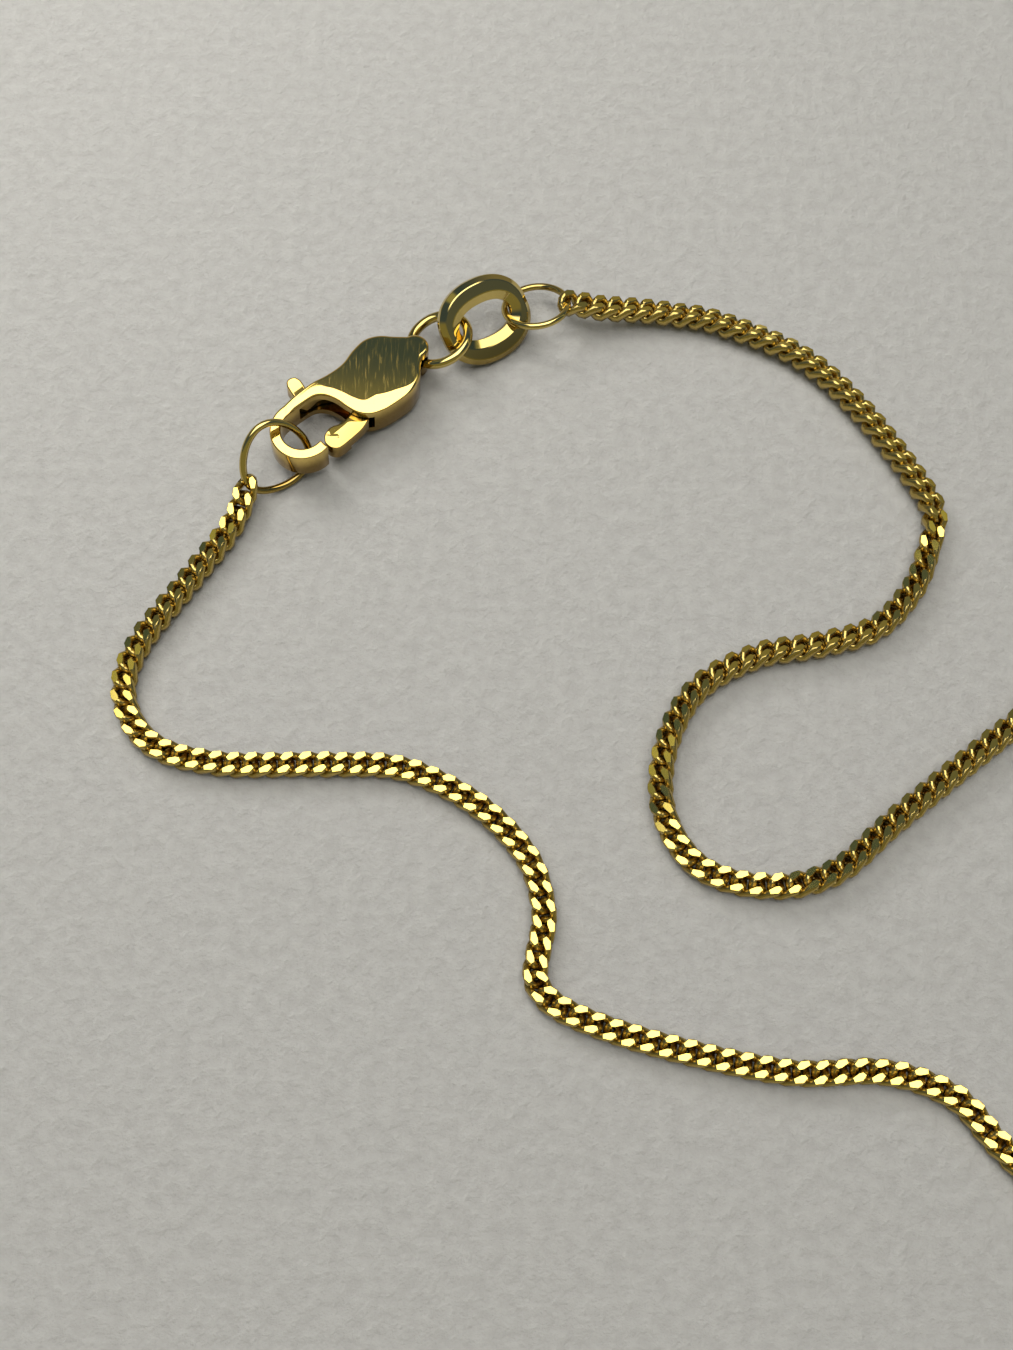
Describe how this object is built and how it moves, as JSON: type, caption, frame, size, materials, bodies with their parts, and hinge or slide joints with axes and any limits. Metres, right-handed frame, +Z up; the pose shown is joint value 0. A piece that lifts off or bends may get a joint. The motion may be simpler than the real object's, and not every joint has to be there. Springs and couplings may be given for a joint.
{
  "type": "chain anklet",
  "caption": "Fine curb chain anklet lying closed, fastened by a lobster clasp with a pivoting lever hooked into the chain's end ring.",
  "frame": {"origin": "bottom centre of the whole anklet's bounding box, on the surface that it lies on", "axes": "+Z up from that surface; +X along the longer way of the laid-out loop, to the right as seen from above; +Y towards the clasp's side"},
  "size_m": [0.0744, 0.048, 0.003],
  "materials": {
    "clasp_gold": "polished",
    "lever_gold": "polished",
    "pivot_gold": "polished",
    "ring_gold": "polished",
    "link_gold": "polished, with flat cut facets",
    "chain_gold": "polished, with flat cut facets"
  },
  "bodies": {
    "anklet": {"clasp_body": "clasp_gold", "clasp_pivot": "pivot_gold", "clasp_ring": "ring_gold", "end_link": "link_gold", "chain_ring": "ring_gold", "hook_ring": "ring_gold", "chain_strand_right": "chain_gold", "chain_strand_left": "chain_gold"},
    "lever": {"clasp_lever": "lever_gold"}
  },
  "joints": [
    {"name": "lever_hinge", "type": "hinge", "parent": "anklet", "child": "lever", "pos_m": [-0.02563, 0.0171, 0.00121], "axis": [-0.0586, -0.0378, -0.9976], "range_deg": [0, 25], "stiffness_Nm_per_rad": 0.01}
  ]
}
